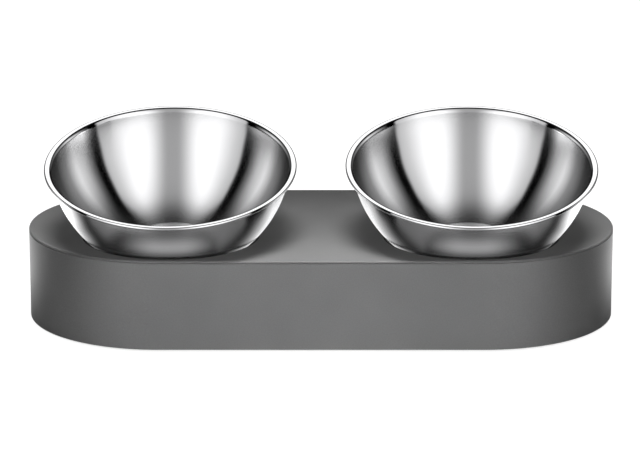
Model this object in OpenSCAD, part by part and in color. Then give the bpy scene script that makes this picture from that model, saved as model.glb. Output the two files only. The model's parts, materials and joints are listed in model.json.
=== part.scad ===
// Double pet bowl: two steel bowls on one long stand, each on a turning holder that sets its tilt.
// +X is to the right, +Y to the back and +Z up.
// The origin is on the floor under the centre of the whole outline, the overhanging rims included.

/* [Stand] */
// Length of the stand
stand_l = 352; // [335:1:380]
// Depth of the stand, which is also the width of its round ends
stand_d = 160; // [158:1:176]
// Height of the stand's shell, without the feet
stand_h = 54; // [50:1:62]
// Thickness of the shell's side wall
shell_wall = 2.5; // [1.8:0.1:2.8]
// Thickness of the shell's top
top_t = 3; // [2:0.1:3.6]
// Rounding along the shell's top edge
top_edge_r = 1; // [0.6:0.1:2]
// Thickness of the bottom cover
cover_t = 2.4; // [2.2:0.1:3.4]
// Gap round the bottom cover
cover_gap = 0.3; // [0.2:0.05:0.6]

/* [Bowls] */
// Distance between the two bowls' centres
bowl_spacing = 179; // [170:1:186]
// Radius of the ball that a bowl's outer wall is part of
ball_r = 72; // [71:0.5:73.5]
// Distance from the ball's centre down to the bowl's rim
rim_drop = 8.3; // [6:0.1:12]
// Depth of a bowl outside, from its rim to its base
bowl_depth = 57.7; // [56.5:0.1:59]
// Thickness of the bowl's sheet
bowl_wall = 0.8; // [0.6:0.1:1.2]
// Outer radius of the rim
rim_r = 75; // [74:0.1:77]
// Radius of the rolled bead on the rim
bead_r = 0.9; // [0.8:0.05:1.2]

/* [Tilt] */
// Forward tilt of the bowls as shown; half a turn of the holder makes them level
bowl_tilt = 14.5; // [10:0.5:15]
// Height of the ball's centre above the stand's top
ball_rise = 50.6; // [50:0.1:52]
// Distance of the ball's centre in front of the stand's centre line
ball_forward = 24; // [18:0.5:24.5]

/* [Openings] */
// Gap between the bowl and the gasket
gasket_gap = 0.35; // [0.3:0.05:0.5]
// Width of the gasket, seen from above
gasket_w = 1.2; // [0.9:0.05:1.4]
// Depth of the gasket's upper face below the stand's top
gasket_sink = 0.3; // [0.2:0.05:0.6]

/* [Holders] */
// Gap between the bowl and the holder's cup
cup_gap = 0.3; // [0.25:0.05:0.4]
// Thickness of the cup's wall
cup_wall = 3.5; // [3:0.1:3.8]
// Clear height kept between the holder and the stand's top
cup_clear = 1.3; // [1:0.1:1.6]
// Radius of the pad under a bowl
pad_r = 20; // [15:0.5:22]
// Thickness of the pad under a bowl
pad_t = 1.2; // [1:0.1:1.5]
// Gap between the bowl's base and the pad
seat_gap = 0.2; // [0.15:0.05:0.3]
// Radius of the boss under the cup
boss_r = 20; // [19.5:0.5:22]
// How far the boss stands out of the cup
boss_drop = 2.4; // [2:0.1:3]

/* [Pivots] */
// Radius of the holder's spindle
spindle_r = 8; // [6:0.1:9]
// Running clearance between the spindle and its bore
spindle_clear = 0.05; // [0.03:0.01:0.08]
// Length of the bearing bore
bearing_l = 9; // [7:0.5:11]
// Outer radius of the glide ring
glide_r = 13; // [11:0.1:13.5]
// Thickness of the glide ring
glide_t = 1.5; // [1.2:0.1:2]
// Gap above the glide ring, and play above the washer
glide_gap = 0.1; // [0.05:0.05:0.2]
// Radius of the pivot washer
washer_r = 11; // [10:0.1:12]
// Thickness of the pivot washer
washer_t = 1.2; // [1:0.1:1.5]
// Radius of the pedestal's column
column_r = 20; // [19.5:0.5:22]
// Radius of the pedestal's flange
flange_r = 30; // [29:0.5:33]
// Thickness of the pedestal's flange
flange_t = 6; // [5.5:0.5:8]
// Distance of the stop pin from the pivot
stop_at = 16; // [15.6:0.1:16.4]
// Radius of the stop pin
stop_r = 1.5; // [1.2:0.1:1.7]
// Length of the stop pin
stop_l = 4.4; // [4:0.1:5]
// Gap round the stop pin in its groove
stop_gap = 0.3; // [0.2:0.05:0.4]

/* [Feet] */
// Radius of a foot
foot_r = 9; // [7:0.5:10]
// Height of a foot below the cover
foot_proud = 1; // [0.8:0.1:2]
// Depth of a foot's recess in the cover
foot_recess = 1.2; // [0.8:0.1:1.3]
// Distance of the outer feet from the round ends' centres, along the stand's length
foot_x = 46; // [39:1:50]
// Distance of the outer feet from the stand's centre line
foot_y = 44; // [38:1:46]
// Distance of the middle feet from the stand's centre line
middle_foot_y = 56; // [40:1:58]

/* [Screws] */
// Radius of the screws' threads
screw_r = 1.5; // [1.3:0.05:1.8]
// Radius of the screws' heads
head_r = 2.75; // [2.5:0.05:2.9]
// Height of the screws' heads
head_h = 1.3; // [1:0.05:1.35]
// Gap round a screw and its head in the cover
screw_gap = 0.3; // [0.2:0.05:0.4]
// Depth of the heads' recess in the cover
head_recess = 1.4; // [1.35:0.05:1.5]
// How far a cover screw reaches into its boss
cover_screw_bite = 9; // [6:0.5:12]
// How far a pedestal screw reaches into the flange
pedestal_screw_bite = 4.4; // [3:0.1:4.5]
// How far a pivot screw reaches into the spindle
pivot_screw_bite = 12; // [8:0.5:14]
// Radius of a pivot screw's head
pivot_head_r = 4.4; // [4:0.1:5]
// Height of a pivot screw's head
pivot_head_h = 2.4; // [2:0.1:3]
// Radius of the bosses that take the cover screws
screw_boss_r = 5; // [4.6:0.1:5.5]
// How far a boss runs into the wall beside it
boss_bite = 0.4; // [0.3:0.1:0.8]
// Angle of the outer cover screws about the round ends
end_screw_angle = 35; // [30:1:45]

/* [Hidden] */
$fn = 96;

LEFT = -1;
RIGHT = 1;
// Length by which a cutting shape runs past what it cuts
overrun = 1;
// Side of the cross recess in a screw's head, as a share of the head's radius
cross_length_share = 1.2;
cross_width_share = 0.3;
cross_depth_share = 0.5;
// Screws on each pedestal's flange
pedestal_screw_count = 3;
// Room round the washer inside the pedestal
washer_room = 1;
// Land between a pedestal screw's head and the flange's edge
flange_land = 1;

// Heights above the floor
shell_bottom = foot_proud;
stand_top = shell_bottom + stand_h;
top_under = stand_top - top_t;
cover_top = shell_bottom + cover_t;
ball_z = stand_top + ball_rise;

// Plan of the stand
end_x = (stand_l - stand_d) / 2;
outer_r = stand_d / 2;
inner_r = outer_r - shell_wall;
cover_r = inner_r - cover_gap;
boss_at = inner_r - screw_boss_r + boss_bite;
outer_foot_x = end_x + foot_x;

// How far the rims reach in front of the stand's centre line, and the stand's shift to the back that
// centres the whole outline
rim_front = ball_forward - (rim_drop + bead_r) * sin(bowl_tilt) + (rim_r - bead_r) * cos(bowl_tilt) + bead_r;
stand_back = (max(rim_front, outer_r) - outer_r) / 2;

// Round opening where the ball passes the stand's top
opening_ball_r = sqrt(pow(ball_r, 2) - pow(ball_rise, 2));
gasket_inner_r = opening_ball_r + gasket_gap;
opening_r = gasket_inner_r + gasket_w;

// The pivot leans half as far as the bowl
pivot_tilt = bowl_tilt / 2;

// Distances down an axis from the ball's centre
base_drop = rim_drop + bowl_depth;
pad_drop = base_drop + seat_gap;
cup_floor_drop = pad_drop + seat_gap;
cup_r = ball_r + cup_gap;
holder_r = cup_r + cup_wall;
cup_edge_angle = acos((ball_z - top_under + cup_clear) / holder_r) - pivot_tilt;
cup_edge_drop = holder_r * cos(cup_edge_angle);
boss_root_drop = sqrt(pow(holder_r, 2) - pow(boss_r, 2)) - cup_wall / 2;
boss_face_drop = holder_r + boss_drop;
glide_top_drop = boss_face_drop + glide_gap;
pedestal_top_drop = glide_top_drop + glide_t;
shoulder_drop = pedestal_top_drop + bearing_l;
spindle_end_drop = shoulder_drop + glide_gap;
washer_end_drop = spindle_end_drop + washer_t;

// Pedestal, below the ball's centre
pedestal_back = (ball_z - cover_top) * tan(pivot_tilt) - ball_forward;
column_end_drop = (ball_z - cover_top) / cos(pivot_tilt) + column_r;
cavity_r = washer_r + washer_room;
spindle_bore_r = spindle_r + spindle_clear;
flange_screw_at = flange_r - head_r - screw_gap - flange_land;
groove_d = stop_l - glide_gap - glide_t + stop_gap;
groove_half_w = stop_r + stop_gap;

// Puts its children, drawn about the stand's centre, where the whole outline is centred
module placed() {
    translate([0, stand_back, 0]) children();
}

// Plan of a round-ended plate, with a radius at its ends
module stadium(r) {
    square([2 * end_x, 2 * r], center = true);
    for (side = [LEFT, RIGHT]) translate([side * end_x, 0]) circle(r);
}

// Half of the shell's upright section, with its rounded top edge
module shell_section() {
    square([outer_r, stand_h - top_edge_r]);
    square([outer_r - top_edge_r, stand_h]);
    translate([outer_r - top_edge_r, stand_h - top_edge_r]) circle(top_edge_r);
}

// Outside of the shell as a solid
module shell_block() {
    for (side = [LEFT, RIGHT]) translate([side * end_x, 0, 0])
        rotate_extrude($fn = 180) shell_section();
    translate([-end_x, 0, 0]) rotate([90, 0, 90]) linear_extrude(2 * end_x) {
        shell_section();
        mirror([1, 0]) shell_section();
    }
}

// Puts its children at each cover screw
module at_cover_screws() {
    for (back = [-1, 1]) {
        translate([0, back * boss_at, 0]) children();
        for (side = [LEFT, RIGHT]) {
            x = side * (end_x + boss_at * cos(end_screw_angle));
            translate([x, back * boss_at * sin(end_screw_angle), 0]) children();
        }
    }
}

// Puts its children at each pedestal screw of one side
module at_pedestal_screws(side) {
    translate([side * bowl_spacing / 2, pedestal_back, 0])
        for (i = [0 : pedestal_screw_count - 1])
            rotate(90 + i * 360 / pedestal_screw_count) translate([flange_screw_at, 0, 0]) children();
}

// Puts its children at the ball's centre, with +Z up the pivot axis
module at_pivot(side) {
    translate([side * bowl_spacing / 2, -ball_forward, ball_z]) rotate([pivot_tilt, 0, 0]) children();
}

// Puts its children at the ball's centre, with +Z up the bowl's own axis
module at_bowl(side) {
    translate([side * bowl_spacing / 2, -ball_forward, ball_z]) rotate([bowl_tilt, 0, 0]) children();
}

// Cylinder between two distances down the axis
module drop_cylinder(r, from, to) {
    translate([0, 0, -to]) cylinder(r = r, h = to - from);
}

// Screw with its tip up, its head's seat at zero and a cross recess in the head
module screw(thread_r, length, top_r, top_h) {
    difference() {
        union() {
            cylinder(r = thread_r, h = length, $fn = 32);
            translate([0, 0, -top_h]) cylinder(r = top_r, h = top_h, $fn = 48);
        }
        for (turn = [0, 90]) rotate(turn)
            translate([0, 0, -top_h])
                cube([top_r * cross_length_share, top_r * cross_width_share, 2 * top_h * cross_depth_share],
                     center = true);
    }
}

module stand_shell() {
    color([0.43, 0.43, 0.44]) difference() {
        union() {
            difference() {
                translate([0, 0, shell_bottom]) shell_block();
                translate([0, 0, shell_bottom - overrun])
                    linear_extrude(top_under - shell_bottom + overrun) stadium(inner_r, $fn = 180);
            }
            at_cover_screws() translate([0, 0, cover_top])
                cylinder(r = screw_boss_r, h = top_under - cover_top + top_t / 2);
        }
        for (side = [LEFT, RIGHT]) translate([side * bowl_spacing / 2, -ball_forward, top_under - overrun])
            cylinder(r = opening_r, h = top_t + 2 * overrun, $fn = 180);
        at_cover_screws() translate([0, 0, cover_top - overrun])
            cylinder(r = screw_r, h = cover_screw_bite + 2 * overrun, $fn = 32);
    }
}

module bottom_cover() {
    color([0.16, 0.16, 0.17]) difference() {
        translate([0, 0, shell_bottom]) linear_extrude(cover_t) stadium(cover_r, $fn = 180);
        at_cover_screws() screw_hole();
        for (side = [LEFT, RIGHT]) at_pedestal_screws(side) screw_hole();
        at_feet() translate([0, 0, shell_bottom - overrun]) cylinder(r = foot_r, h = foot_recess + overrun);
    }
}

// Hole through the cover for a screw and its head
module screw_hole() {
    translate([0, 0, shell_bottom - overrun]) {
        cylinder(r = screw_r + screw_gap, h = cover_t + 2 * overrun, $fn = 32);
        cylinder(r = head_r + screw_gap, h = head_recess + overrun, $fn = 48);
    }
}

// Puts its children at all six feet
module at_feet() {
    for (back = [-1, 1]) {
        translate([0, back * middle_foot_y, 0]) children();
        for (side = [LEFT, RIGHT]) translate([side * outer_foot_x, back * foot_y, 0]) children();
    }
}

module cover_screws() {
    color([0.7, 0.7, 0.72]) at_cover_screws() translate([0, 0, shell_bottom + head_recess])
        screw(screw_r, cover_t - head_recess + cover_screw_bite, head_r, head_h);
}

module pedestal_screws() {
    color([0.7, 0.7, 0.72]) for (side = [LEFT, RIGHT]) at_pedestal_screws(side)
        translate([0, 0, shell_bottom + head_recess])
            screw(screw_r, cover_t - head_recess + pedestal_screw_bite, head_r, head_h);
}

module foot(x, y) {
    color([0.1, 0.1, 0.1]) translate([x, y, 0]) cylinder(r = foot_r, h = foot_proud + foot_recess);
}

module opening_gasket(side) {
    color([0.08, 0.08, 0.08]) translate([side * bowl_spacing / 2, -ball_forward, top_under]) difference() {
        cylinder(r = opening_r, h = top_t - gasket_sink, $fn = 180);
        translate([0, 0, -overrun]) cylinder(r = gasket_inner_r, h = top_t + 2 * overrun, $fn = 180);
    }
}

// Groove for the stop pin: half a turn on the stand's inward side, with room for the pin at both ends
module stop_groove(side) {
    ring_inner_r = stop_at - groove_half_w;
    ring_outer_r = stop_at + groove_half_w;
    inward_x = side == LEFT ? 0 : -ring_outer_r;
    translate([0, 0, -pedestal_top_drop - groove_d]) {
        intersection() {
            difference() {
                cylinder(r = ring_outer_r, h = groove_d + overrun);
                translate([0, 0, -overrun]) cylinder(r = ring_inner_r, h = groove_d + 3 * overrun);
            }
            translate([inward_x, -ring_outer_r, 0])
                cube([ring_outer_r, 2 * ring_outer_r, groove_d + overrun]);
        }
        for (back = [-1, 1]) translate([0, back * stop_at, 0])
            cylinder(r = groove_half_w, h = groove_d + overrun);
    }
}

module pivot_pedestal(side) {
    color([0.2, 0.2, 0.21]) difference() {
        union() {
            intersection() {
                at_pivot(side) drop_cylinder(column_r, pedestal_top_drop, column_end_drop);
                translate([side * bowl_spacing / 2 - 2 * flange_r, pedestal_back - 2 * flange_r, cover_top])
                    cube([4 * flange_r, 4 * flange_r, ball_z]);
            }
            translate([side * bowl_spacing / 2, pedestal_back, cover_top])
                cylinder(r = flange_r, h = flange_t);
        }
        at_pivot(side) {
            drop_cylinder(spindle_bore_r, pedestal_top_drop - overrun, shoulder_drop + overrun);
            drop_cylinder(cavity_r, shoulder_drop, column_end_drop + overrun);
            stop_groove(side);
        }
        at_pedestal_screws(side) translate([0, 0, cover_top - overrun])
            cylinder(r = screw_r, h = pedestal_screw_bite + 2 * overrun, $fn = 32);
    }
}

module glide_ring(side) {
    color([0.92, 0.92, 0.9]) at_pivot(side) difference() {
        drop_cylinder(glide_r, glide_top_drop, pedestal_top_drop);
        drop_cylinder(spindle_bore_r, glide_top_drop - overrun, pedestal_top_drop + overrun);
    }
}

// Everything nearer to the ball's centre than the cup's floor, along the bowl's own axis
module above_floor(floor_drop) {
    rotate([pivot_tilt, 0, 0]) translate([-holder_r, -holder_r, -floor_drop]) cube(2 * holder_r);
}

module tilt_holder(side) {
    color([0.24, 0.24, 0.25]) at_pivot(side) difference() {
        union() {
            intersection() {
                sphere(r = holder_r, $fn = 180);
                drop_cylinder(holder_r, cup_edge_drop, holder_r + overrun);
            }
            drop_cylinder(boss_r, boss_root_drop, boss_face_drop);
            drop_cylinder(spindle_r, boss_root_drop, spindle_end_drop);
            translate([0, -stop_at, 0]) drop_cylinder(stop_r, boss_root_drop, boss_face_drop + stop_l);
        }
        intersection() {
            sphere(r = cup_r, $fn = 180);
            above_floor(cup_floor_drop);
        }
        rotate([pivot_tilt, 0, 0]) drop_cylinder(pad_r, pad_drop, pad_drop + pad_t);
        drop_cylinder(screw_r, spindle_end_drop - pivot_screw_bite - overrun, spindle_end_drop + overrun);
    }
}

module bowl_pad(side) {
    color([0.3, 0.3, 0.3]) at_bowl(side) drop_cylinder(pad_r, pad_drop, pad_drop + pad_t);
}

module pivot_washer(side) {
    color([0.75, 0.75, 0.76]) at_pivot(side) difference() {
        drop_cylinder(washer_r, spindle_end_drop, washer_end_drop);
        drop_cylinder(screw_r, spindle_end_drop - overrun, washer_end_drop + overrun);
    }
}

module pivot_screw(side) {
    color([0.7, 0.7, 0.72]) at_pivot(side) translate([0, 0, -washer_end_drop])
        screw(screw_r, washer_t + pivot_screw_bite, pivot_head_r, pivot_head_h);
}

// The flat lip that leaves the bowl's wall and ends in a rolled bead
module bowl_lip() {
    lip_inner_r = sqrt(pow(ball_r - bowl_wall, 2) - pow(rim_drop, 2));
    bead_at = rim_r - bead_r;
    translate([0, 0, -rim_drop]) rotate_extrude($fn = 180) {
        translate([lip_inner_r, -bowl_wall]) square([bead_at - lip_inner_r, bowl_wall]);
        translate([bead_at, -bead_r]) circle(bead_r, $fn = 32);
    }
}

module bowl(side) {
    inner_ball_r = ball_r - bowl_wall;
    color([0.82, 0.82, 0.83]) at_bowl(side) {
        difference() {
            intersection() {
                sphere(r = ball_r, $fn = 180);
                drop_cylinder(ball_r, rim_drop, base_drop);
            }
            intersection() {
                sphere(r = inner_ball_r, $fn = 180);
                drop_cylinder(ball_r, rim_drop - overrun, base_drop - bowl_wall);
            }
        }
        bowl_lip();
    }
}

placed() stand_shell();
placed() bottom_cover();
placed() cover_screws();
placed() pedestal_screws();
placed() foot(-outer_foot_x, -foot_y);  // front_left_foot
placed() foot(0, -middle_foot_y);  // front_middle_foot
placed() foot(outer_foot_x, -foot_y);  // front_right_foot
placed() foot(-outer_foot_x, foot_y);  // back_left_foot
placed() foot(0, middle_foot_y);  // back_middle_foot
placed() foot(outer_foot_x, foot_y);  // back_right_foot
placed() opening_gasket(LEFT);  // left_opening_gasket
placed() pivot_pedestal(LEFT);  // left_pivot_pedestal
placed() glide_ring(LEFT);  // left_glide_ring
placed() tilt_holder(LEFT);  // left_tilt_holder
placed() bowl_pad(LEFT);  // left_bowl_pad
placed() pivot_washer(LEFT);  // left_pivot_washer
placed() pivot_screw(LEFT);  // left_pivot_screw
placed() bowl(LEFT);  // left_bowl
placed() opening_gasket(RIGHT);  // right_opening_gasket
placed() pivot_pedestal(RIGHT);  // right_pivot_pedestal
placed() glide_ring(RIGHT);  // right_glide_ring
placed() tilt_holder(RIGHT);  // right_tilt_holder
placed() bowl_pad(RIGHT);  // right_bowl_pad
placed() pivot_washer(RIGHT);  // right_pivot_washer
placed() pivot_screw(RIGHT);  // right_pivot_screw
placed() bowl(RIGHT);  // right_bowl
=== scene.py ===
# %% [markdown]
# # Double pet bowl
# Two mirror-polished steel bowls lean forward on a low grey stand.
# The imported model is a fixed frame: it says where every piece is, and this lesson gives the pieces their
# finished shapes and surfaces. Everything is in metres, with +X to the right, +Y to the back and +Z up.

# %% Load the frame
import json
import math

import bmesh
import bpy
from mathutils import Matrix, Vector


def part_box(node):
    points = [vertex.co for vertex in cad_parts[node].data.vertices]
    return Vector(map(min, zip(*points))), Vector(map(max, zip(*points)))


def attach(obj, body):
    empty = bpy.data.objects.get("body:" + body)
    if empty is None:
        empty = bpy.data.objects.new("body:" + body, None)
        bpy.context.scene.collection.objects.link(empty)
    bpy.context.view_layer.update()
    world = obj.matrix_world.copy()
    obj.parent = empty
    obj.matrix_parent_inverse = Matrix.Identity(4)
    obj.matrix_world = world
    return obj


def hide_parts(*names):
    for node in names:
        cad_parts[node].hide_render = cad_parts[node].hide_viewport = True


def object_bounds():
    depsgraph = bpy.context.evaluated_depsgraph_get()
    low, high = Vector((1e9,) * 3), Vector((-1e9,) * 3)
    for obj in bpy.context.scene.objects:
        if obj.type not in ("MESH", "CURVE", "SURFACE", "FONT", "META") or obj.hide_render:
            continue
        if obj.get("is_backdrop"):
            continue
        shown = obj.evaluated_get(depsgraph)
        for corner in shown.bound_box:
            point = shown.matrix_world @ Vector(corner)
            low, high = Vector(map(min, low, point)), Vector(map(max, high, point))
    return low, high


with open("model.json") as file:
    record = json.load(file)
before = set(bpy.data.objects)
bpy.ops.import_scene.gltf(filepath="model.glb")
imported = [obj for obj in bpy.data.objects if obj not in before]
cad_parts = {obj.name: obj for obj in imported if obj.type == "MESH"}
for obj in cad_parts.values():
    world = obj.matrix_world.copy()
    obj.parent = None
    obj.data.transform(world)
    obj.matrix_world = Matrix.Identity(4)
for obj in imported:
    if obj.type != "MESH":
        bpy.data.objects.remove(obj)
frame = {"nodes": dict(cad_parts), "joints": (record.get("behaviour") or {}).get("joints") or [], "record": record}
NODES = frame["nodes"]
JOINTS = {joint["name"]: joint for joint in frame["joints"]}
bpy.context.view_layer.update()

# %% [markdown]
# ## Sizes
# A few sizes describe the stand and the bowls. Places are read from the frame wherever it holds them, so
# the finished pieces land exactly on the solids: the middle of the stand comes from its box, and the
# middle of each bowl's ball comes from the joint that turns it.

# %% Sizes and places
MM = 0.001
SIDES = {"left": -1, "right": 1}
shell_low, shell_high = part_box("stand_shell")
STAND_Y = (shell_low.y + shell_high.y) / 2
SHELL_BOTTOM, STAND_TOP = shell_low.z, shell_high.z
OUTER_R = (shell_high.y - shell_low.y) / 2
END_X = shell_high.x - OUTER_R
SHELL_WALL, TOP_T, TOP_EDGE_R = 2.5 * MM, 3 * MM, 1 * MM
TOP_UNDER = STAND_TOP - TOP_T
HUBS = {side: Vector(JOINTS[f"{side}_tilt"]["pos_m"]) for side in SIDES}
LEANS = {side: Vector((0, 0, 1)).rotation_difference(Vector(JOINTS[f"{side}_lift"]["axis"]))
         for side in SIDES}
print("stand", round(2 * (END_X + OUTER_R), 4), "by", round(2 * OUTER_R, 4), "hubs", HUBS)

# %% [markdown]
# ## Helpers for round pieces
# Nearly every piece here is turned, pressed or spun, so it is drawn as half of its section and spun round
# its axis. The section grows from one vertex: a straight edge is an extruded vertex, and an arc is a
# vertex that is itself spun about the arc's centre. That keeps true arcs without any list of points.


# %% Outline and lathe helpers
SAME_PLACE = 1e-7


def start(bm, x, z):
    return bm.verts.new((x, 0, z))


def reach(bm, tip, x, z):
    """Extends the outline by one straight edge."""
    end = bmesh.ops.extrude_vert_indiv(bm, verts=[tip])["verts"][0]
    end.co = (x, 0, z)
    return end


def sweep(bm, tip, x, z, degrees, steps):
    """Carries the end of the outline round a centre in the XZ plane."""
    made = bmesh.ops.spin(bm, geom=[tip], cent=(x, 0, z), axis=(0, 1, 0), angle=math.radians(degrees),
                          steps=steps)
    return [item for item in made["geom_last"] if isinstance(item, bmesh.types.BMVert)][0]


def lathe(bm, steps, offset=0.0):
    """Spins the outline once round Z and closes the poles."""
    bmesh.ops.rotate(bm, verts=bm.verts[:], cent=(0, 0, 0), matrix=Matrix.Rotation(offset, 3, "Z"))
    bmesh.ops.spin(bm, geom=bm.verts[:] + bm.edges[:], cent=(0, 0, 0), axis=(0, 0, 1), angle=2 * math.pi,
                   steps=steps, use_merge=True)
    bmesh.ops.remove_doubles(bm, verts=bm.verts[:], dist=SAME_PLACE)


def shift(bm, x, y):
    """Moves a piece that was spun round the Z axis to its place."""
    bmesh.ops.translate(bm, verts=bm.verts[:], vec=(x, y, 0))


def finish_piece(bm, name, body, nodes, sharp=40):
    """Makes a mesh object of the bmesh, rides it on its body and lets it stand for its CAD nodes."""
    bmesh.ops.recalc_face_normals(bm, faces=bm.faces[:])
    mesh = bpy.data.meshes.new(name)
    bm.to_mesh(mesh)
    bm.free()
    mesh.shade_smooth()
    mesh.set_sharp_from_angle(angle=math.radians(sharp))
    piece = bpy.data.objects.new(name, mesh)
    bpy.context.scene.collection.objects.link(piece)
    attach(piece, body)
    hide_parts(*nodes)
    triangles = sum(len(face.vertices) - 2 for face in mesh.polygons)
    print(name, "triangles", triangles)
    return piece


# %% [markdown]
# ## The stand's shell
# The real shell is one moulding with straight long sides and round ends. One lathe turn gives both round
# ends at once: the ring is spun with no vertex on the middle line, and then its two halves move apart, so
# the faces between them stretch into the straight walls. The flat top and its underside are filled
# between their outlines and the openings' circles. A narrow flat band inside each edge keeps the shading
# of the big faces flat. A fine seam runs round the stand right under the top's edge, and is cut in as a
# narrow groove, which shows as a thin dark line.

# %% Stand shell
OPENING_R = (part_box("left_opening_gasket")[1].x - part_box("left_opening_gasket")[0].x) / 2
OPENING_EDGE_R = 0.35 * MM
SEAM_W, SEAM_D = 0.6 * MM, 0.9 * MM
FLAT_BAND = 0.3 * MM
BOSS_R, PILOT_R, BOSS_BOTTOM, PILOT_TOP = 4.45 * MM, 1.5 * MM, 3.4 * MM, 13.4 * MM
BOSS_INSET, BOSS_TURN = 4.6 * MM, math.radians(35)
SHELL_STEPS, OPENING_STEPS, BOSS_STEPS = 180, 160, 32


def open_loops(bm, height):
    """Edges on a free border at this height."""
    return [edge for edge in bm.edges
            if edge.is_boundary and all(abs(v.co.z - height) < SAME_PLACE for v in edge.verts)]


def merge_in(bm, other):
    """Adds another bmesh to this one."""
    mesh = bpy.data.meshes.new("passing")
    other.to_mesh(mesh)
    other.free()
    bm.from_mesh(mesh)
    bpy.data.meshes.remove(mesh)


def shell_ring():
    ring = bmesh.new()
    inner_r = OUTER_R - SHELL_WALL
    edge_z = STAND_TOP - TOP_EDGE_R
    tip = start(ring, inner_r - FLAT_BAND, TOP_UNDER)
    for x, z in ((inner_r, TOP_UNDER), (inner_r, SHELL_BOTTOM), (OUTER_R, SHELL_BOTTOM),
                 (OUTER_R, edge_z - SEAM_W), (OUTER_R - SEAM_D, edge_z - SEAM_W / 2), (OUTER_R, edge_z)):
        tip = reach(ring, tip, x, z)
    tip = sweep(ring, tip, OUTER_R - TOP_EDGE_R, edge_z, -90, 8)
    reach(ring, tip, OUTER_R - TOP_EDGE_R - FLAT_BAND, STAND_TOP)
    lathe(ring, SHELL_STEPS, math.pi / SHELL_STEPS)
    for side in (-1, 1):
        half = [v for v in ring.verts if v.co.x * side > 0]
        bmesh.ops.translate(ring, verts=half, vec=(side * END_X, STAND_Y, 0))
    return ring


def opening_wall(hub):
    wall = bmesh.new()
    tip = start(wall, OPENING_R + FLAT_BAND, TOP_UNDER)
    tip = reach(wall, tip, OPENING_R, TOP_UNDER)
    tip = reach(wall, tip, OPENING_R, STAND_TOP - OPENING_EDGE_R)
    tip = sweep(wall, tip, OPENING_R + OPENING_EDGE_R, STAND_TOP - OPENING_EDGE_R, 90, 5)
    reach(wall, tip, OPENING_R + OPENING_EDGE_R + FLAT_BAND, STAND_TOP)
    lathe(wall, OPENING_STEPS)
    shift(wall, hub.x, hub.y)
    return wall


def screw_boss(x, y):
    """The outside of a boss under the top, and the blind hole that its screw bites in."""
    boss = bmesh.new()
    tip = start(boss, BOSS_R, TOP_UNDER)
    for radius, height in ((BOSS_R, BOSS_BOTTOM), (PILOT_R, BOSS_BOTTOM), (PILOT_R, PILOT_TOP),
                           (0, PILOT_TOP)):
        tip = reach(boss, tip, radius, height)
    lathe(boss, BOSS_STEPS)
    shift(boss, x, y)
    return boss


shell = shell_ring()
for side in SIDES:
    merge_in(shell, opening_wall(HUBS[side]))
boss_at = OUTER_R - SHELL_WALL - BOSS_INSET
for back in (-1, 1):
    merge_in(shell, screw_boss(0, STAND_Y + back * boss_at))
    for sign in SIDES.values():
        merge_in(shell, screw_boss(sign * (END_X + boss_at * math.cos(BOSS_TURN)),
                                   STAND_Y + back * boss_at * math.sin(BOSS_TURN)))
for height in (STAND_TOP, TOP_UNDER):
    bmesh.ops.triangle_fill(shell, use_beauty=True, use_dissolve=False, edges=open_loops(shell, height))
print("open edges left in the shell", sum(edge.is_boundary for edge in shell.edges))
stand_shell = finish_piece(shell, "stand_shell_skin", "stand", ["stand_shell"])

# %% [markdown]
# ## The bowls
# A real bowl is spun from a steel disc over a former: a flat base, a small bend, a wall that is part of a
# ball, and a flat lip that ends in a rolled bead. The bend between the wall and the lip is round enough to
# mirror the dark ceiling as a thin line all round the rim. The section below follows the sheet's inside
# from the base's middle out to the bead, and comes back along the outside one sheet thickness away.

# %% Bowls
BALL_R, SHEET = 72 * MM, 0.8 * MM
LIP_DROP, BASE_DROP = 8.3 * MM, 66 * MM
BEAD_AT, BEAD_R = 74.1 * MM, 0.9 * MM
BASE_BEND, LIP_BEND = 5 * MM, 2.2 * MM
BOWL_STEPS = 192


def bowl_section(bm):
    base_z = -BASE_DROP + SHEET + BASE_BEND
    base_x = math.sqrt((BALL_R - SHEET - BASE_BEND) ** 2 - base_z ** 2)
    base_turn = math.degrees(math.atan2(base_x, -base_z))
    lip_z = -LIP_DROP - LIP_BEND
    lip_x = math.sqrt((BALL_R - SHEET + LIP_BEND) ** 2 - lip_z ** 2)
    lip_turn = math.degrees(math.atan2(lip_x, -lip_z))
    bead_turn = 360 - math.degrees(math.acos((BEAD_R - SHEET) / BEAD_R))

    tip = start(bm, 0, -BASE_DROP + SHEET)
    tip = reach(bm, tip, base_x, -BASE_DROP + SHEET)
    tip = sweep(bm, tip, base_x, base_z, -base_turn, 8)
    tip = sweep(bm, tip, 0, 0, base_turn - lip_turn, 48)
    tip = sweep(bm, tip, lip_x, lip_z, lip_turn, 12)
    tip = reach(bm, tip, BEAD_AT, -LIP_DROP)
    tip = sweep(bm, tip, BEAD_AT, -LIP_DROP - BEAD_R, bead_turn, 22)
    tip = reach(bm, tip, lip_x, -LIP_DROP - SHEET)
    tip = sweep(bm, tip, lip_x, lip_z, -lip_turn, 6)
    tip = sweep(bm, tip, 0, 0, lip_turn - base_turn, 48)
    tip = sweep(bm, tip, base_x, base_z, base_turn, 8)
    reach(bm, tip, 0, -BASE_DROP)


def lean_and_place(bm, side):
    """Turns a piece drawn about the ball's centre to the bowl's lean, and puts it there."""
    bmesh.ops.rotate(bm, verts=bm.verts[:], cent=(0, 0, 0), matrix=LEANS[side].to_matrix())
    bmesh.ops.translate(bm, verts=bm.verts[:], vec=HUBS[side])


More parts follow.
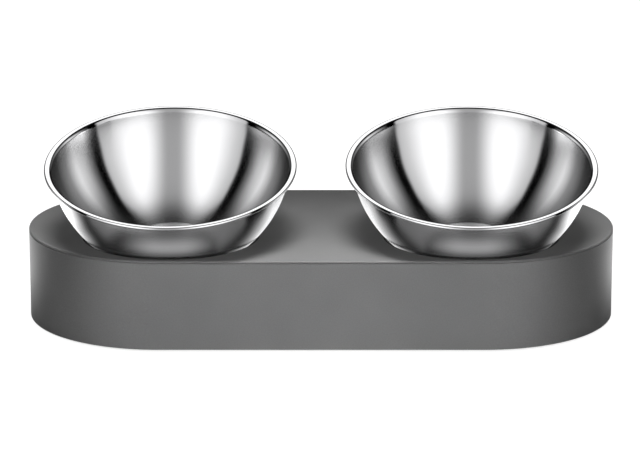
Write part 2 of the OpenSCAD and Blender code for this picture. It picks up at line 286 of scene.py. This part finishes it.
def map_along_wall(bm):
    """Lays a UV map on a spun piece: U runs along the wall away from the axis, V runs round the axis."""
    layer = bm.loops.layers.uv.new("spun")
    for face in bm.faces:
        centre = face.calc_center_median()
        middle = math.atan2(centre.y, centre.x)
        for loop in face.loops:
            x, y, z = loop.vert.co
            away = math.hypot(x, y)
            turn = math.atan2(y, x) - middle if away > 1e-6 else 0
            turn = (turn + math.pi) % (2 * math.pi) - math.pi
            loop[layer].uv = (math.atan2(away, -z) / math.pi, (middle + turn) / (2 * math.pi))


bowls = {}
for side in SIDES:
    dish = bmesh.new()
    bowl_section(dish)
    lathe(dish, BOWL_STEPS)
    map_along_wall(dish)
    lean_and_place(dish, side)
    bowls[side] = finish_piece(dish, f"{side}_bowl_spun", f"{side}_bowl", [f"{side}_bowl"],
                               sharp=60)

# %% [markdown]
# ## Rubber pieces
# The feet, the rings round the openings and the pads under the bowls are moulded rubber. Rubber mouldings
# have rounded edges and often rings that grip, so each one is a small section spun round, inside the space
# that its plain solid holds.


# %% Feet
FOOT_R, FOOT_TOP, FOOT_EDGE_R = 9 * MM, 2.2 * MM, 0.4 * MM
FOOT_STEPS = 64
# The rings on the sole: radius and height of each corner, in millimetres.
SOLE = ((1.6, 0.25), (2.0, 0), (3.4, 0), (3.8, 0.3), (4.4, 0.3), (4.8, 0), (6.2, 0), (6.6, 0.3), (7.2, 0.3),
        (7.6, 0), (8.6, 0))


def foot_section(bm):
    tip = start(bm, 0, SOLE[0][1] * MM)
    for radius, height in SOLE:
        tip = reach(bm, tip, radius * MM, height * MM)
    tip = sweep(bm, tip, FOOT_R - FOOT_EDGE_R, FOOT_EDGE_R, -90, 5)
    tip = reach(bm, tip, FOOT_R, FOOT_TOP)
    reach(bm, tip, 0, FOOT_TOP)


feet = []
for name in [name for name in NODES if name.endswith("_foot")]:
    low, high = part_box(name)
    rubber = bmesh.new()
    foot_section(rubber)
    lathe(rubber, FOOT_STEPS)
    shift(rubber, (low.x + high.x) / 2, (low.y + high.y) / 2)
    feet.append(finish_piece(rubber, f"{name}_rubber", "stand", [name]))

# %% Rings round the openings
GASKET_W, GASKET_PLAY, GASKET_EDGE_R = 1.2 * MM, 0.05 * MM, 0.5 * MM
gaskets = []
for side in SIDES:
    low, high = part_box(f"{side}_opening_gasket")
    inner = (high.x - low.x) / 2 - GASKET_W
    outer = (high.x - low.x) / 2 - GASKET_PLAY
    edge_z = high.z - GASKET_EDGE_R
    ring = bmesh.new()
    tip = start(ring, outer, low.z)
    tip = reach(ring, tip, outer, edge_z)
    tip = sweep(ring, tip, outer - GASKET_EDGE_R, edge_z, -90, 6)
    tip = reach(ring, tip, inner + GASKET_EDGE_R, high.z)
    tip = sweep(ring, tip, inner + GASKET_EDGE_R, edge_z, -90, 6)
    tip = reach(ring, tip, inner, low.z)
    reach(ring, tip, outer, low.z)
    lathe(ring, OPENING_STEPS)
    shift(ring, (low.x + high.x) / 2, (low.y + high.y) / 2)
    gaskets.append(finish_piece(ring, f"{side}_gasket_ring", "stand",
                                [f"{side}_opening_gasket"]))


# %% Pads under the bowls
# Radii and heights of the pad from the middle of the bowl's ball, in millimetres.
PAD_TOP, PAD_BOTTOM, PAD_R = -66.2, -67.4, 19.9
RIDGES, FIRST_RIDGE, RIDGE_STEP, RIDGE_H = 5, 2.6, 3.4, 0.2
RIDGE_FOOT, RIDGE_CREST, PAD_EDGE_R = 0.9, 0.5, 0.3
PAD_STEPS = 96


def pad_section(bm):
    valley = PAD_TOP - RIDGE_H
    tip = start(bm, 0, valley * MM)
    for ridge in range(RIDGES):
        centre = FIRST_RIDGE + RIDGE_STEP * ridge
        for radius, height in ((centre - RIDGE_FOOT, valley), (centre - RIDGE_CREST, PAD_TOP),
                               (centre + RIDGE_CREST, PAD_TOP), (centre + RIDGE_FOOT, valley)):
            tip = reach(bm, tip, radius * MM, height * MM)
    tip = reach(bm, tip, (PAD_R - PAD_EDGE_R) * MM, valley * MM)
    tip = sweep(bm, tip, (PAD_R - PAD_EDGE_R) * MM, (valley - PAD_EDGE_R) * MM, 90, 4)
    tip = reach(bm, tip, PAD_R * MM, PAD_BOTTOM * MM)
    reach(bm, tip, 0, PAD_BOTTOM * MM)


pads = []
for side in SIDES:
    pad = bmesh.new()
    pad_section(pad)
    lathe(pad, PAD_STEPS)
    lean_and_place(pad, side)
    pads.append(finish_piece(pad, f"{side}_pad_ridged", f"{side}_holder",
                             [f"{side}_bowl_pad"]))

# %% [markdown]
# ## Surface effects shared by the materials
# Two effects turn up again and again. Moulded plastic and rubber have a fine grain that breaks up the
# colour, the gloss and the surface a little. Turned and spun metal carries faint rings left by the polishing
# wheel. Each is built once as a node group and placed in the materials with its own values. Both read
# Object coordinates, so the pattern stays on the piece when it moves.


# %% Node helpers and the grain group
def link(tree, source, target):
    tree.links.new(source, target)


def node(tree, kind, **values):
    made = tree.nodes.new(kind)
    for key, value in values.items():
        setattr(made, key, value)
    return made


def group_with(name, inputs, outputs):
    tree = bpy.data.node_groups.new(name, "ShaderNodeTree")
    for socket, kind, value in inputs:
        made = tree.interface.new_socket(name=socket, in_out="INPUT", socket_type=kind)
        if value is not None:
            made.default_value = value
    for socket, kind in outputs:
        tree.interface.new_socket(name=socket, in_out="OUTPUT", socket_type=kind)
    return tree, node(tree, "NodeGroupInput"), node(tree, "NodeGroupOutput")


def math_of(tree, operation, *values):
    made = node(tree, "ShaderNodeMath", operation=operation)
    for socket, value in zip(made.inputs, values):
        if isinstance(value, (int, float)):
            socket.default_value = value
        else:
            link(tree, value, socket)
    return made.outputs[0]


def times(tree, *values):
    product = values[0]
    for value in values[1:]:
        product = math_of(tree, "MULTIPLY", product, value)
    return product


def soft_step(tree, value, start, end, low=0.0, high=1.0):
    """Goes softly from one level to another as a value passes from start to end."""
    made = node(tree, "ShaderNodeMapRange", interpolation_type="SMOOTHSTEP")
    link(tree, value, made.inputs["Value"])
    for socket, number in (("From Min", start), ("From Max", end), ("To Min", low), ("To Max", high)):
        made.inputs[socket].default_value = number
    return made.outputs["Result"]


def ramp_of(tree, value, stops):
    """Blends from stop to stop, where each stop is a value and the level that it gives."""
    first, last = stops[0][0], stops[-1][0]
    made = node(tree, "ShaderNodeValToRGB")
    while len(made.color_ramp.elements) < len(stops):
        made.color_ramp.elements.new(0.5)
    for element, (place, level) in zip(made.color_ramp.elements, stops):
        element.position = (place - first) / (last - first)
        element.color = (level, level, level, 1)
    share = math_of(tree, "DIVIDE", math_of(tree, "SUBTRACT", value, first), last - first)
    link(tree, share, made.inputs["Fac"])
    return made.outputs["Color"]


def roughness_from(tree, noise, into):
    """Spreads a noise over the range of roughness that the group is given."""
    made = node(tree, "ShaderNodeMapRange")
    link(tree, noise.outputs["Fac"], made.inputs["Value"])
    link(tree, into.outputs["Least Roughness"], made.inputs["To Min"])
    link(tree, into.outputs["Most Roughness"], made.inputs["To Max"])
    return made.outputs["Result"]


GRAIN_SHARE = 0.6


def grain_group():
    """Fine grain and slow clouding blend two tones, and the clouding alone sets the roughness."""
    tree, into, out = group_with("moulded_grain", [
        ("Vector", "NodeSocketVector", None), ("Dark", "NodeSocketColor", (0, 0, 0, 1)),
        ("Light", "NodeSocketColor", (1, 1, 1, 1)), ("Grain", "NodeSocketFloat", 2500.0),
        ("Least Roughness", "NodeSocketFloat", 0.4), ("Most Roughness", "NodeSocketFloat", 0.6)],
        [("Color", "NodeSocketColor"), ("Roughness", "NodeSocketFloat"), ("Height", "NodeSocketFloat")])
    grain = node(tree, "ShaderNodeTexNoise")
    grain.inputs["Detail"].default_value = 3
    cloud = node(tree, "ShaderNodeTexNoise")
    cloud.inputs["Scale"].default_value = 28
    link(tree, into.outputs["Vector"], grain.inputs["Vector"])
    link(tree, into.outputs["Vector"], cloud.inputs["Vector"])
    link(tree, into.outputs["Grain"], grain.inputs["Scale"])
    clouding = times(tree, cloud.outputs["Fac"], 1 - GRAIN_SHARE)
    blend = math_of(tree, "MULTIPLY_ADD", grain.outputs["Fac"], GRAIN_SHARE, clouding)
    mix = node(tree, "ShaderNodeMix", data_type="RGBA")
    link(tree, blend, mix.inputs["Factor"])
    link(tree, into.outputs["Dark"], mix.inputs[6])
    link(tree, into.outputs["Light"], mix.inputs[7])
    link(tree, mix.outputs[2], out.inputs["Color"])
    link(tree, roughness_from(tree, cloud, into), out.inputs["Roughness"])
    link(tree, grain.outputs["Fac"], out.inputs["Height"])
    return tree


moulded_grain = grain_group()
print("group", moulded_grain.name, "sockets", len(moulded_grain.interface.items_tree))


# %% Polishing rings group
# The roughness changes by these factors on a bowl's lip and on its flat base.
BRIGHTER, DULLER = 0.3, 2.4


def rings_group():
    tree, into, out = group_with("polishing_rings", [
        ("Vector", "NodeSocketVector", None), ("Rings", "NodeSocketFloat", 900.0),
        ("Least Roughness", "NodeSocketFloat", 0.06), ("Most Roughness", "NodeSocketFloat", 0.12),
        ("Bright Above", "NodeSocketFloat", 1.0), ("Satin Below", "NodeSocketFloat", -1.0)],
        [("Roughness", "NodeSocketFloat"), ("Height", "NodeSocketFloat")])
    split = node(tree, "ShaderNodeSeparateXYZ")
    link(tree, into.outputs["Vector"], split.inputs[0])
    flat = node(tree, "ShaderNodeCombineXYZ")
    link(tree, split.outputs["X"], flat.inputs["X"])
    link(tree, split.outputs["Y"], flat.inputs["Y"])
    radius = node(tree, "ShaderNodeVectorMath", operation="LENGTH")
    link(tree, flat.outputs[0], radius.inputs[0])
    place = node(tree, "ShaderNodeCombineXYZ")
    link(tree, radius.outputs["Value"], place.inputs["X"])
    link(tree, split.outputs["Z"], place.inputs["Y"])
    rings = node(tree, "ShaderNodeTexNoise")
    rings.inputs["Detail"].default_value = 4
    link(tree, place.outputs[0], rings.inputs["Vector"])
    link(tree, into.outputs["Rings"], rings.inputs["Scale"])
    rough = roughness_from(tree, rings, into)
    on_wall = soft_step(tree, math_of(tree, "SUBTRACT", split.outputs["Z"], into.outputs["Bright Above"]),
                        -0.0004, 0.0002, 1.0, BRIGHTER)
    on_base = soft_step(tree, math_of(tree, "SUBTRACT", split.outputs["Z"], into.outputs["Satin Below"]),
                        0.0006, 0.0, 1.0, DULLER)
    link(tree, times(tree, rough, on_wall, on_base), out.inputs["Roughness"])
    link(tree, rings.outputs["Fac"], out.inputs["Height"])
    return tree


polishing_rings = rings_group()
print("group", polishing_rings.name, "sockets", len(polishing_rings.interface.items_tree))


# %% [markdown]
# ## Plastics and rubbers
# One recipe serves every moulded piece: two close tones of its colour, a grain size, a range of roughness
# and how deep the grain is. The stand is a fine matte grey, the inner pieces are darker, the glide rings
# are smooth white acetal, and the rubbers are darkest and roughest.


# %% Moulded materials
def start_material(name, group):
    """A new material with one of the effects beside its shader."""
    material = bpy.data.materials.new(name)
    material.use_nodes = True
    tree = material.node_tree
    return material, tree, tree.nodes["Principled BSDF"], node(tree, "ShaderNodeGroup", node_tree=group)


def roughen(tree, shader, effect, roughness, strength, depth):
    """Gives the shader the effect's roughness and its small bumps."""
    effect.inputs["Least Roughness"].default_value, effect.inputs["Most Roughness"].default_value = roughness
    link(tree, effect.outputs["Roughness"], shader.inputs["Roughness"])
    bump = node(tree, "ShaderNodeBump")
    bump.inputs["Strength"].default_value = strength
    bump.inputs["Distance"].default_value = depth
    link(tree, effect.outputs["Height"], bump.inputs["Height"])
    link(tree, bump.outputs["Normal"], shader.inputs["Normal"])


def moulded(name, dark, light, grain, roughness, depth):
    material, tree, shader, effect = start_material(name, moulded_grain)
    link(tree, node(tree, "ShaderNodeTexCoord").outputs["Object"], effect.inputs["Vector"])
    effect.inputs["Dark"].default_value = (*dark, 1)
    effect.inputs["Light"].default_value = (*light, 1)
    effect.inputs["Grain"].default_value = grain
    link(tree, effect.outputs["Color"], shader.inputs["Base Color"])
    roughen(tree, shader, effect, roughness, GRAIN_STRENGTH, depth * MM)
    return material


GRAIN_STRENGTH = 0.5
# Each slot's material: its name, dark and light tone, grain, range of roughness and depth in millimetres.
FINISHES = {slot: moulded(*look) for slot, look in {
    "grey_plastic": ("grey_moulded_plastic", (0.095, 0.095, 0.095), (0.190, 0.190, 0.190), 1400,
                     (0.42, 0.52), 0.03),
    "dark_plastic": ("dark_cover_plastic", (0.018, 0.018, 0.020), (0.027, 0.027, 0.030), 1800,
                     (0.45, 0.62), 0.05),
    "inner_plastic": ("inner_pedestal_plastic", (0.028, 0.028, 0.031), (0.040, 0.040, 0.043), 1600,
                      (0.40, 0.55), 0.03),
    "holder_plastic": ("satin_holder_plastic", (0.042, 0.042, 0.046), (0.056, 0.056, 0.060), 1400,
                       (0.28, 0.38), 0.02),
    "glide_plastic": ("white_acetal", (0.78, 0.78, 0.75), (0.85, 0.85, 0.82), 900, (0.18, 0.28), 0.01),
    "foot_rubber": ("foot_rubber_black", (0.008, 0.008, 0.008), (0.014, 0.014, 0.014), 2200,
                    (0.70, 0.88), 0.04),
    "gasket_rubber": ("gasket_rubber_black", (0.005, 0.005, 0.005), (0.009, 0.009, 0.009), 2400,
                      (0.55, 0.75), 0.02),
    "pad_rubber": ("pad_silicone_grey", (0.065, 0.065, 0.065), (0.085, 0.085, 0.085), 1500,
                   (0.50, 0.65), 0.02),
}.items()}
print("moulded finishes", list(FINISHES))


# %% [markdown]
# ## Steel
# The bowls are polished until they mirror the room, so their look is mostly what stands around them. What
# is theirs is a slight tint, a low roughness and the faint rings of the polishing wheel, centred on each
# bowl's own axis by a Mapping node. The screws and washers are zinc plated: duller, with rings round the
# middle of the stand that read as fine brushing.


# %% Metal materials
RING_STRENGTH = 0.3


def steel(name, tint, rings, roughness, depth, centre=None, lean=None):
    """With a ball's centre and a lean, the rings and the gloss follow that bowl's own axis."""
    material, tree, shader, effect = start_material(name, polishing_rings)
    shader.inputs["Base Color"].default_value = (*tint, 1)
    shader.inputs["Metallic"].default_value = 1
    vector = node(tree, "ShaderNodeTexCoord").outputs["Object"]
    if centre is not None:
        shader.inputs["Anisotropic"].default_value = 1
        along = node(tree, "ShaderNodeTangent", direction_type="UV_MAP", uv_map="spun")
        link(tree, along.outputs["Tangent"], shader.inputs["Tangent"])
        own = node(tree, "ShaderNodeMapping", vector_type="TEXTURE")
        own.inputs["Location"].default_value = centre
        own.inputs["Rotation"].default_value = lean.to_euler()
        link(tree, vector, own.inputs["Vector"])
        vector = own.outputs[0]
        effect.inputs["Bright Above"].default_value = -LIP_DROP - LIP_BEND
        effect.inputs["Satin Below"].default_value = -BASE_DROP + SHEET
    link(tree, vector, effect.inputs["Vector"])
    effect.inputs["Rings"].default_value = rings
    roughen(tree, shader, effect, roughness, RING_STRENGTH, depth * MM)
    return material


polished = {side: steel(f"{side}_polished_steel", (0.76, 0.76, 0.77), 700, (0.15, 0.19), 0.002,
                        HUBS[side], LEANS[side]) for side in SIDES}
zinc = steel("zinc_plated_steel", (0.62, 0.62, 0.64), 1500, (0.26, 0.40), 0.01)
print("metals", [material.name for material in polished.values()], zinc.name)


# %% [markdown]
# ## Finishes on the pieces
# Each piece gets the finish that its slot in the record names. The bowls are photographed as if they
# mirrored only the room, so mirrored rays pass by the stand and by the bowls themselves. The dark rings
# round the openings stay mirrored, as the dark line where each bowl enters the top. The bowls also throw no
# light back on the stand, which keeps the soft shadows round them clean.

# %% Give every piece its finish
def wear(piece, material):
    piece.data.materials.clear()
    piece.data.materials.append(material)


wear(stand_shell, FINISHES["grey_plastic"])
for side in SIDES:
    wear(bowls[side], polished[side])
    bowls[side].visible_glossy = False
    bowls[side].visible_diffuse = False
for pieces, finish in ((feet, "foot_rubber"), (gaskets, "gasket_rubber"), (pads, "pad_rubber")):
    for piece in pieces:
        wear(piece, FINISHES[finish])
SLOT_OF = {part["node"]: part["material_slot"] for part in frame["record"]["subparts"]}
for name, solid in NODES.items():
    if not solid.hide_render:
        wear(solid, zinc if SLOT_OF[name] == "zinc_steel" else FINISHES[SLOT_OF[name]])
for piece in [stand_shell, *feet, *pads, *NODES.values()]:
    piece.visible_glossy = False
print("solids that show", sorted(name for name, solid in NODES.items() if not solid.hide_render))

# %% [markdown]
# ## Floor
# The bowls stand on pure white. The floor is nearly white for the camera, with a share of its true shaded
# colour left in, and ambient occlusion darkens it a little where the stand's foot comes close. For other
# light it is an ordinary matt floor. What the steel mirrors is a painted reflection: for mirrored rays the
# floor glows with painted levels that rise towards the back beside each bowl, a soft painted highlight
# before it, and a painted dark disc under each bowl that stands for its mirrored contact shadow. Past these
# painted levels, mirrored rays go through the floor to the panels of the world.
# From below the floor is clear, so that the feet and the cover's screws can be looked at.

# %% Floor
FLOOR_REACH = 6
# The floor's true grey, and the share of white that lies over it for the camera.
FLOOR_GREY, WHITE_SHARE = 0.28, 0.88
# The white's strength right at the foot, what it gains in the open, and how far the foot's shade reaches.
WHITE_AT_FOOT, WHITE_GAIN, CONTACT_REACH = 0.9, 0.4, 0.012
floor_mesh = bmesh.new()
bmesh.ops.create_grid(floor_mesh, x_segments=1, y_segments=1, size=FLOOR_REACH)
floor_data = bpy.data.meshes.new("floor")
floor_mesh.to_mesh(floor_data)
floor_mesh.free()
floor = bpy.data.objects.new("floor", floor_data)
bpy.context.scene.collection.objects.link(floor)
floor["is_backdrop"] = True

pale = bpy.data.materials.new("pale_floor")
pale.use_nodes = True
tree = pale.node_tree
tree.nodes.remove(tree.nodes["Principled BSDF"])
matte = node(tree, "ShaderNodeBsdfDiffuse")
matte.inputs["Color"].default_value = (FLOOR_GREY, FLOOR_GREY, FLOOR_GREY, 1)
contact = node(tree, "ShaderNodeAmbientOcclusion", samples=8)
contact.inputs["Distance"].default_value = CONTACT_REACH
white = node(tree, "ShaderNodeEmission")
link(tree, math_of(tree, "MULTIPLY_ADD", contact.outputs["AO"], WHITE_GAIN, WHITE_AT_FOOT),
     white.inputs["Strength"])
rays = node(tree, "ShaderNodeLightPath")


def mix_shaders(tree, fac, first, second):
    made = node(tree, "ShaderNodeMixShader")
    link(tree, fac, made.inputs["Fac"])
    link(tree, first, made.inputs[1])
    link(tree, second, made.inputs[2])
    return made.outputs[0]


def seen_plainly(tree, rays):
    """One for the rays that come straight from the camera or through something clear."""
    return math_of(tree, "MAXIMUM", rays.outputs["Is Camera Ray"], rays.outputs["Is Transmission Ray"])


def length_of(tree, x, y):
    return math_of(tree, "SQRT", math_of(tree, "ADD", times(tree, x, x), times(tree, y, y)))


spot = node(tree, "ShaderNodeSeparateXYZ")
link(tree, node(tree, "ShaderNodeTexCoord").outputs["Object"], spot.inputs[0])
aside = math_of(tree, "ABSOLUTE", spot.outputs["X"])
past_end = math_of(tree, "MAXIMUM", math_of(tree, "SUBTRACT", aside, END_X), 0.0)
away = length_of(tree, past_end, math_of(tree, "SUBTRACT", spot.outputs["Y"], STAND_Y))
from_axis = math_of(tree, "ABSOLUTE", math_of(tree, "SUBTRACT", aside, HUBS["right"].x))
from_hub = math_of(tree, "SUBTRACT", spot.outputs["Y"], HUBS["right"].y)
ring = length_of(tree, from_axis, from_hub)

# Metres and the level of the painted reflection there: beside a bowl, how far behind its ball's middle;
# before it, how far out from that middle.
PAINTED_BESIDE = ((-0.120, 0.07), (-0.045, 0.09), (-0.034, 0.08), (-0.022, 0.05), (-0.010, 0.008), (0.004, 0.010),
          (0.018, 0.06), (0.045, 0.24), (0.075, 0.42), (0.100, 0.65))
PAINTED_BEFORE = ((0.046, 0.0), (0.051, 0.30), (0.057, 0.55), (0.065, 0.56), (0.072, 0.42), (0.080, 0.20),
          (0.089, 0.08), (0.099, 0.03), (0.112, 0.01))
PAINTED_BESIDE_STRENGTH, FAR_BOOST, FRONT_DIMMING, PATCH_WIDENING = 2.0, 2.0, -0.75, 0.76
low_end = math_of(tree, "MAXIMUM", soft_step(tree, aside, 0.158, 0.182, 0.1, 1.0),
                  soft_step(tree, aside, 0.09, 0.06))
near_front = times(tree, soft_step(tree, from_axis, 0.070, 0.045), soft_step(tree, from_hub, -0.02, -0.04))
# Painted reflection levels beside each bowl, which the steel mirrors as its strips.
painted_reflection_beside = times(tree, ramp_of(tree, from_hub, PAINTED_BESIDE), PAINTED_BESIDE_STRENGTH,
               soft_step(tree, aside, 0.195, 0.220, 1.0, FAR_BOOST), low_end,
               math_of(tree, "MULTIPLY_ADD", near_front, FRONT_DIMMING, 1.0))
narrowed = length_of(tree, times(tree, from_axis, PATCH_WIDENING), from_hub)
# The painted highlight patch before each bowl, which the steel mirrors.
before = times(tree, ramp_of(tree, narrowed, PAINTED_BEFORE), soft_step(tree, from_axis, 0.070, 0.015),
               soft_step(tree, from_hub, 0.0, -0.03))
# A painted dark disc under each bowl, the contact shadow that the steel mirrors there, is cut out of the painted
# levels.
painted_shadow_under_bowl = times(tree, soft_step(tree, ring, 0.061, 0.054), soft_step(tree, aside, 0.034, 0.040))
outside_painted_shadow = math_of(tree, "SUBTRACT", 1.0, painted_shadow_under_bowl)
# The floor glows with these painted reflections, for mirrored rays only.
painted_reflection = node(tree, "ShaderNodeEmission")
link(tree, math_of(tree, "MAXIMUM", times(tree, painted_reflection_beside, outside_painted_shadow), before), painted_reflection.inputs["Strength"])
reach_of_painted_reflection = soft_step(tree, spot.outputs["Y"], -0.01, 0.04, 0.14, 0.26)
past_painted_reflection = soft_step(tree, math_of(tree, "SUBTRACT", away, reach_of_painted_reflection), -0.02, 0.03)
through = node(tree, "ShaderNodeBsdfTransparent")
surface = mix_shaders(tree, times(tree, seen_plainly(tree, rays), WHITE_SHARE), matte.outputs[0],
                      white.outputs[0])
mirrored = mix_shaders(tree, past_painted_reflection, painted_reflection.outputs[0], through.outputs[0])
surface = mix_shaders(tree, rays.outputs["Is Glossy Ray"], surface, mirrored)
from_below = node(tree, "ShaderNodeNewGeometry").outputs["Backfacing"]
surface = mix_shaders(tree, from_below, surface, through.outputs[0])
link(tree, surface, tree.nodes["Material Output"].inputs["Surface"])
floor.data.materials.append(pale)
print("floor", [round(v, 2) for v in floor.dimensions])

# %% [markdown]
# ## Studio light
# Polished bowls show the room, so the room is what gives them their stripes. The world holds it by
# direction: a bright panel in front with a dimmer slot down its middle, a dark gap on each side of it, a
# narrower panel at each side that fades out above and below, and darkness behind and overhead. A white card
# hangs high behind the stand, which is what the flat lips of the bowls show. Matt surfaces get a weak fill
# instead, brighter from behind, and the camera itself sees plain white.

# %% World
STUDIO_STRENGTH = 1.5
SLOT_LEVEL = 0.31
FILL_FRONT, FILL_BACK = 0.03, 0.08
world = bpy.data.worlds.new("studio")
bpy.context.scene.world = world
world.use_nodes = True
tree = world.node_tree
tree.nodes.clear()
direction = node(tree, "ShaderNodeSeparateXYZ")
link(tree, node(tree, "ShaderNodeTexCoord").outputs["Generated"], direction.inputs[0])
ahead = math_of(tree, "MULTIPLY", direction.outputs["Y"], -1)
turn = math_of(tree, "ABSOLUTE", math_of(tree, "ARCTAN2", direction.outputs["X"], ahead))
part = math_of(tree, "DIVIDE", turn, math.pi)

# Degrees away from straight ahead, to either side, and the level there.
AROUND = ((0, 1.0), (38, 1.0), (46, 0.93), (55, 0.72), (63, 0.55), (71, 0.45), (74, 0.0), (82, 0.0),
          (88, 0.14), (97, 0.46), (109, 0.70), (124, 0.22), (144, 0.06), (180, 0.07))


def by_turn(start, end, low=0.0, high=1.0):
    """Goes softly from one level to another between two turns away from straight ahead, in degrees."""
    return soft_step(tree, part, start / 180, end / 180, low, high)


def by_height(start, end, low=0.0, high=1.0):
    """Goes softly from one level to another between two heights above the horizon, in degrees."""
    first, last = (math.sin(math.radians(degrees)) for degrees in (start, end))
    return soft_step(tree, direction.outputs["Z"], first, last, low, high)


SPLAY = 6 / 180
splay = math_of(tree, "ADD", by_height(0, -16, 0.0, SPLAY), by_height(30, 50, 0.0, SPLAY))
panels = ramp_of(tree, math_of(tree, "SUBTRACT", part, splay),
                 [(degrees / 180, level) for degrees, level in AROUND])
slot = soft_step(tree, math_of(tree, "ABSOLUTE", direction.outputs["X"]), 0.06, 0.48, SLOT_LEVEL, 1.0)
slot = math_of(tree, "MAXIMUM", slot, by_turn(80, 100))
at_side = by_turn(76, 82)
side_ends = times(tree, by_height(-16, 6, 0.12, 1.0), by_height(16, 50, 1.0, 0.02), at_side)
side_ends = math_of(tree, "ADD", side_ends, math_of(tree, "SUBTRACT", 1.0, at_side))
behind = math_of(tree, "MAXIMUM", by_turn(158, 150), by_height(-8, 0, 1.0, 0.12))
level = times(tree, panels, by_height(56, 84, 1.0, 0.04), slot, side_ends, behind)
card = times(tree, by_turn(150, 160), by_height(34, 40), by_height(58, 54))
studio = node(tree, "ShaderNodeBackground")
link(tree, math_of(tree, "MAXIMUM", level, card), studio.inputs["Color"])
studio.inputs["Strength"].default_value = STUDIO_STRENGTH
plain = node(tree, "ShaderNodeBackground")
plain.inputs["Color"].default_value = (1, 1, 1, 1)
fill = node(tree, "ShaderNodeBackground")
link(tree, by_turn(100, 150, FILL_FRONT, FILL_BACK), fill.inputs["Color"])
rays = node(tree, "ShaderNodeLightPath")
lit = mix_shaders(tree, rays.outputs["Is Diffuse Ray"], studio.outputs[0], fill.outputs[0])
seen = mix_shaders(tree, seen_plainly(tree, rays), lit, plain.outputs[0])
link(tree, seen, node(tree, "ShaderNodeOutputWorld").inputs["Surface"])
print("world levels", len(AROUND))

# %% [markdown]
# ## Lamps
# A wide soft strip overhead lights the stand's top and gives the bowls their soft shadows on it. A low box
# in front lights the long front wall and leaves the round ends darker, and two low boxes at the back light
# the sides and the back. Their beams are narrow, so the floor stays even. The steel doesn't mirror any of
# them, because the panels above already stand for the lamps that show.


# %% Lamps
def soft_box(name, place, target, width, height, spread, watts):
    """A rectangular lamp with a grid in front, which keeps its beam within the spread, in degrees."""
    data = bpy.data.lights.new(name, "AREA")
    data.shape = "RECTANGLE"
    data.size, data.size_y = width, height
    data.spread = math.radians(spread)
    data.energy = watts
    lamp = bpy.data.objects.new(name, data)
    lamp.location = place
    lamp.rotation_mode = "QUATERNION"
    lamp.rotation_quaternion = (Vector(target) - lamp.location).to_track_quat("-Z", "Y")
    lamp.visible_glossy = False
    lamp.visible_camera = False
    bpy.context.scene.collection.objects.link(lamp)
    print("lamp", name, watts, "W")


soft_box("top_box", (0, -0.11, 0.70), (0, -0.11, 0), width=0.60, height=0.10, spread=40, watts=1.05)
soft_box("front_box", (0, -1.2, 0.10), (0, -0.07, 0.03), width=0.27, height=0.12, spread=4, watts=0.076)
for side, sign in SIDES.items():
    soft_box(f"back_{side}_box", (sign * 0.6, 1.05, 0.10), (0, 0.01, 0.03), width=0.42, height=0.12, spread=5,
             watts=0.13)

# %% [markdown]
# ## Camera
# The view was fitted to the stand's outline and to both rims: a long lens about two metres away, looking
# down at 17 degrees. The photograph's middle lies above the stand's foot, so the camera looks a little over
# it.

# %% Camera
VIEW_DOWN, AWAY, FOCAL_PX = math.radians(17.1), 2.085, 3430
FRAME_W, FRAME_H = 640, 475
FOOT_PX = (321.13, 309.68)
foot = Vector((0, STAND_Y, SHELL_BOTTOM))
camera_data = bpy.data.cameras.new("view")
camera_data.sensor_width = 36
camera_data.lens = FOCAL_PX * camera_data.sensor_width / FRAME_W
camera = bpy.data.objects.new("view", camera_data)
camera.location = foot + AWAY * Vector((0, -math.cos(VIEW_DOWN), math.sin(VIEW_DOWN)))
over = math.atan((FOOT_PX[1] - FRAME_H / 2) / FOCAL_PX)
aside_turn = math.atan((FOOT_PX[0] - FRAME_W / 2) / FOCAL_PX)
camera.rotation_euler = (math.pi / 2 - VIEW_DOWN + over, 0, aside_turn)
bpy.context.scene.collection.objects.link(camera)
bpy.context.scene.camera = camera
bpy.context.scene.view_settings.view_transform = "Standard"
print("lens", round(camera_data.lens, 2), "at", [round(v, 3) for v in camera.location])

# %% [markdown]
# ## Box of the finished object
# The finished object must fit the solid's box, so its box is printed.

# %% Finish
low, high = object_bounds()
print("visual box", [round(v, 4) for v in (*low, *high)])
